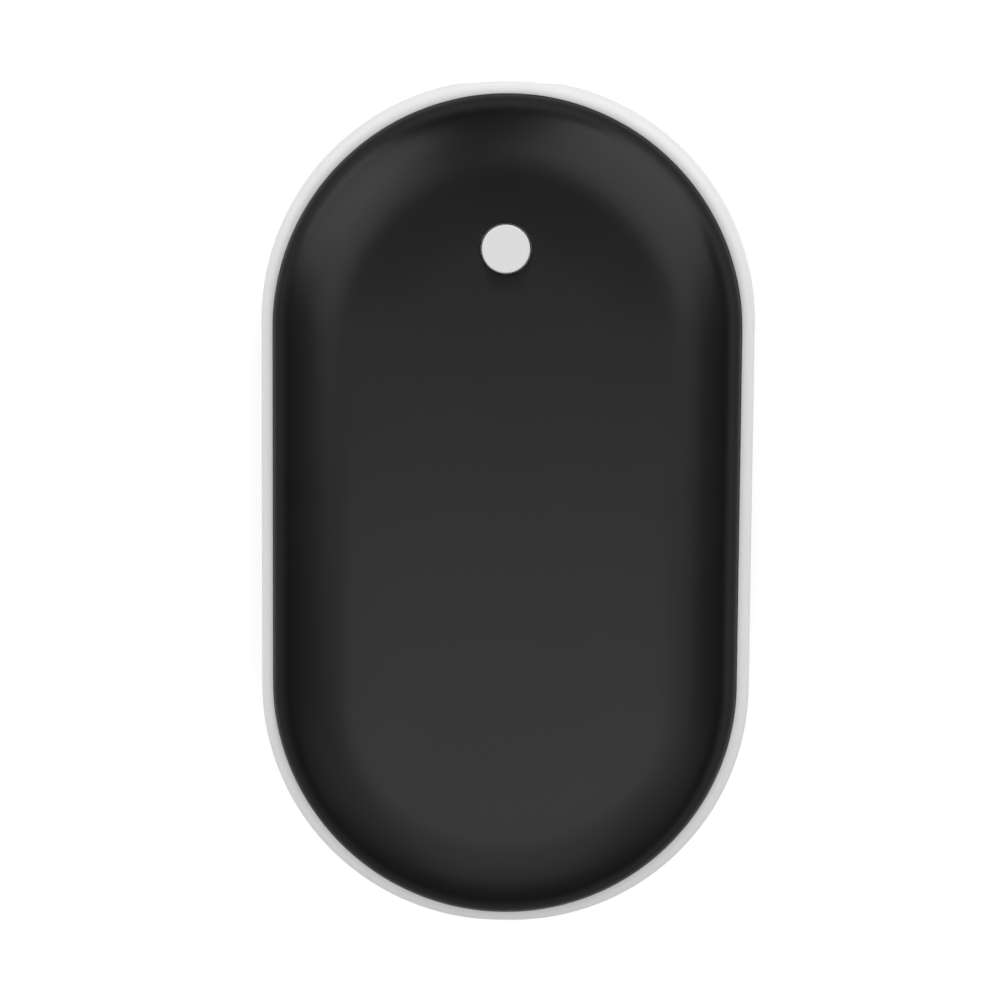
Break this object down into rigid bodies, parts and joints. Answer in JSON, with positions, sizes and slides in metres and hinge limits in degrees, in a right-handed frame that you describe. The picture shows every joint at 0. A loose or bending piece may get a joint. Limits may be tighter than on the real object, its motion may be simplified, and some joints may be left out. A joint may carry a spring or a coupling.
{
  "type": "rechargeable hand warmer",
  "caption": "Pocket rechargeable hand warmer: two rounded black covers either side of a white band, with a push button on the front and a charging socket in the end.",
  "frame": {"origin": "centre of the rear cover's flat face, at the bottom of the object as it lies on that cover", "axes": "+Z out of the front cover through the button side, +Y along the length towards the button end, +X across the width"},
  "size_m": [0.061, 0.1048, 0.0255],
  "materials": {
    "black_coat": "matte",
    "white_band": "satin",
    "milky_white": "satin",
    "bond": "matte",
    "chassis": "satin",
    "cell_sleeve": "satin",
    "nickel": "satin",
    "zinc_steel": "satin",
    "washer_paper": "matte",
    "board": "satin",
    "black_plastic": "satin",
    "contact_metal": "satin",
    "lamp": "gloss",
    "ferrite": "matte",
    "tan_ceramic": "satin",
    "dark_ceramic": "satin",
    "heater_film": "satin",
    "foam": "matte",
    "sensor_resin": "gloss",
    "red_lead": "satin",
    "black_lead": "satin",
    "white_lead": "satin",
    "yellow_lead": "satin"
  },
  "bodies": {
    "housing": {"front_cover": "black_coat", "rear_cover": "black_coat", "front_bond": "bond", "rear_bond": "bond", "mid_frame": "white_band", "cell_tray": "chassis", "cell_carrier": "chassis", "clamp_screws": "zinc_steel", "left_cell": "cell_sleeve", "right_cell": "cell_sleeve", "cell_washers": "washer_paper", "positive_strip": "nickel", "negative_strip": "nickel", "main_board": "board", "board_screws": "zinc_steel", "port_shell": "zinc_steel", "port_body": "black_plastic", "port_contacts": "contact_metal", "switch_base": "black_plastic", "switch_plate": "zinc_steel", "switch_dome": "zinc_steel", "switch_legs": "nickel", "status_lights": "lamp", "power_coil": "ferrite", "control_chip": "black_plastic", "charger_chip": "black_plastic", "heater_transistors": "black_plastic", "board_capacitors": "tan_ceramic", "board_resistors": "dark_ceramic", "front_heater": "heater_film", "rear_heater": "heater_film", "front_foam": "foam", "rear_foam": "foam", "thermistor": "sensor_resin", "sensor_lead": "yellow_lead", "rear_heater_leads": "white_lead", "front_heater_leads": "white_lead", "positive_lead": "red_lead", "negative_lead": "black_lead"},
    "button": {"power_button": "milky_white"},
    "plunger": {"switch_plunger": "black_plastic"}
  },
  "joints": [
    {"name": "button_press", "type": "slide", "parent": "housing", "child": "button", "axis": [0, 0, -1], "range_m": [0, 0.0003], "stiffness_N_per_m": 5300},
    {"name": "plunger_press", "type": "slide", "parent": "housing", "child": "plunger", "axis": [0, 0, -1], "range_m": [0, 0.0003], "deforming": ["switch_dome"]}
  ],
  "couplings": [
    {"joint": "plunger_press", "follows": "button_press", "ratio": 1}
  ]
}
